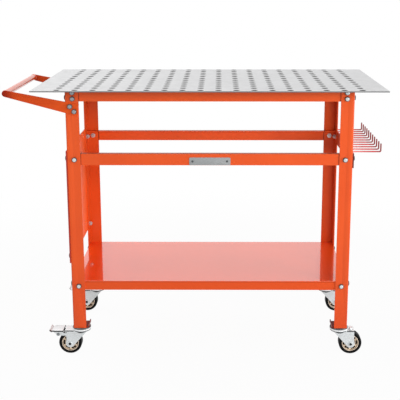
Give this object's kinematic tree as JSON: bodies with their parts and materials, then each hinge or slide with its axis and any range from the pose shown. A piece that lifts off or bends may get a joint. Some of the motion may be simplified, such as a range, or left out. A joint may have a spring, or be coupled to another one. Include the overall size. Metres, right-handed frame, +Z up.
{
  "type": "mobile welding table",
  "caption": "Mobile welding table with a perforated steel top, orange angle-steel frame, lower shelf, tool hooks, push handle and braked swivel casters.",
  "frame": {"origin": "on the floor, under the middle of the whole table with its handle and hooks", "axes": "+X to the right, from the push handle to the tool hooks; +Y to the back; +Z up"},
  "size_m": [1.0015, 0.4572, 0.754],
  "materials": {
    "galvanised_steel": "galvanised sheet, matte grey with a soft grain",
    "orange_powder_coat": "semi-gloss orange powder coat",
    "red_lacquer": "glossy dark red lacquer on bent rod",
    "bare_aluminium": "brushed, bare",
    "bolt_steel": "bright zinc-plated steel",
    "zinc_plate": "zinc-plated pressed steel, satin",
    "bronze_rim": "bronze-tan wheel centre, satin",
    "black_tyre": "black rubber with a low sheen"
  },
  "bodies": {
    "table": {"top_plate": "galvanised_steel", "front_left_leg": "orange_powder_coat", "front_right_leg": "orange_powder_coat", "rear_left_leg": "orange_powder_coat", "rear_right_leg": "orange_powder_coat", "front_top_rail": "orange_powder_coat", "rear_top_rail": "orange_powder_coat", "left_top_rail": "orange_powder_coat", "right_top_rail": "orange_powder_coat", "front_mid_rail": "orange_powder_coat", "rear_mid_rail": "orange_powder_coat", "lower_shelf": "orange_powder_coat", "left_side_panel": "orange_powder_coat", "hook_bar": "orange_powder_coat", "handle_front_arm": "orange_powder_coat", "handle_rear_arm": "orange_powder_coat", "handle_grip": "orange_powder_coat", "foot_plates": "orange_powder_coat", "tool_hooks": "red_lacquer", "name_plate": "bare_aluminium", "frame_bolts": "bolt_steel", "frame_nuts": "bolt_steel", "side_bolts": "bolt_steel", "side_nuts": "bolt_steel", "shelf_bolts": "bolt_steel", "shelf_nuts": "bolt_steel", "handle_bolts": "bolt_steel", "handle_nuts": "bolt_steel", "stem_nuts": "bolt_steel", "name_plate_rivets": "bolt_steel", "swivel_balls": "zinc_plate", "front_left_cup": "zinc_plate", "front_left_stem": "zinc_plate", "front_right_cup": "zinc_plate", "front_right_stem": "zinc_plate", "rear_left_cup": "zinc_plate", "rear_left_stem": "zinc_plate", "rear_right_cup": "zinc_plate", "rear_right_stem": "zinc_plate"},
    "front_left_caster": {"front_left_fork": "zinc_plate", "front_left_axle": "zinc_plate", "front_left_pedal_pin": "zinc_plate"},
    "front_left_wheel": {"front_left_rim": "bronze_rim", "front_left_tyre": "black_tyre"},
    "front_right_caster": {"front_right_fork": "zinc_plate", "front_right_axle": "zinc_plate"},
    "front_right_wheel": {"front_right_rim": "bronze_rim", "front_right_tyre": "black_tyre"},
    "rear_left_caster": {"rear_left_fork": "zinc_plate", "rear_left_axle": "zinc_plate", "rear_left_pedal_pin": "zinc_plate"},
    "rear_left_wheel": {"rear_left_rim": "bronze_rim", "rear_left_tyre": "black_tyre"},
    "rear_right_caster": {"rear_right_fork": "zinc_plate", "rear_right_axle": "zinc_plate"},
    "rear_right_wheel": {"rear_right_rim": "bronze_rim", "rear_right_tyre": "black_tyre"},
    "front_left_brake": {"front_left_pedal": "zinc_plate"},
    "rear_left_brake": {"rear_left_pedal": "zinc_plate"}
  },
  "joints": [
    {"name": "front_left_swivel", "type": "hinge", "parent": "table", "child": "front_left_caster", "pos_m": [-0.31725, -0.145, 0.072], "axis": [0, 0, 1], "continuous": true},
    {"name": "front_left_roll", "type": "hinge", "parent": "front_left_caster", "child": "front_left_wheel", "pos_m": [-0.34925, -0.145, 0.03175], "axis": [0, 1, 0], "continuous": true},
    {"name": "front_right_swivel", "type": "hinge", "parent": "table", "child": "front_right_caster", "pos_m": [0.40275, -0.145, 0.072], "axis": [0, 0, 1], "continuous": true},
    {"name": "front_right_roll", "type": "hinge", "parent": "front_right_caster", "child": "front_right_wheel", "pos_m": [0.43475, -0.145, 0.03175], "axis": [0, 1, 0], "continuous": true},
    {"name": "rear_left_swivel", "type": "hinge", "parent": "table", "child": "rear_left_caster", "pos_m": [-0.31725, 0.145, 0.072], "axis": [0, 0, 1], "continuous": true},
    {"name": "rear_left_roll", "type": "hinge", "parent": "rear_left_caster", "child": "rear_left_wheel", "pos_m": [-0.34925, 0.145, 0.03175], "axis": [0, 1, 0], "continuous": true},
    {"name": "rear_right_swivel", "type": "hinge", "parent": "table", "child": "rear_right_caster", "pos_m": [0.40275, 0.145, 0.072], "axis": [0, 0, 1], "continuous": true},
    {"name": "rear_right_roll", "type": "hinge", "parent": "rear_right_caster", "child": "rear_right_wheel", "pos_m": [0.43475, 0.145, 0.03175], "axis": [0, 1, 0], "continuous": true},
    {"name": "front_left_brake_pedal", "type": "hinge", "parent": "front_left_caster", "child": "front_left_brake", "pos_m": [-0.38066, -0.145, 0.06104], "axis": [0, 1, 0], "range_deg": [0, 18]},
    {"name": "rear_left_brake_pedal", "type": "hinge", "parent": "rear_left_caster", "child": "rear_left_brake", "pos_m": [-0.38066, 0.145, 0.06104], "axis": [0, 1, 0], "range_deg": [-15, 3]}
  ]
}
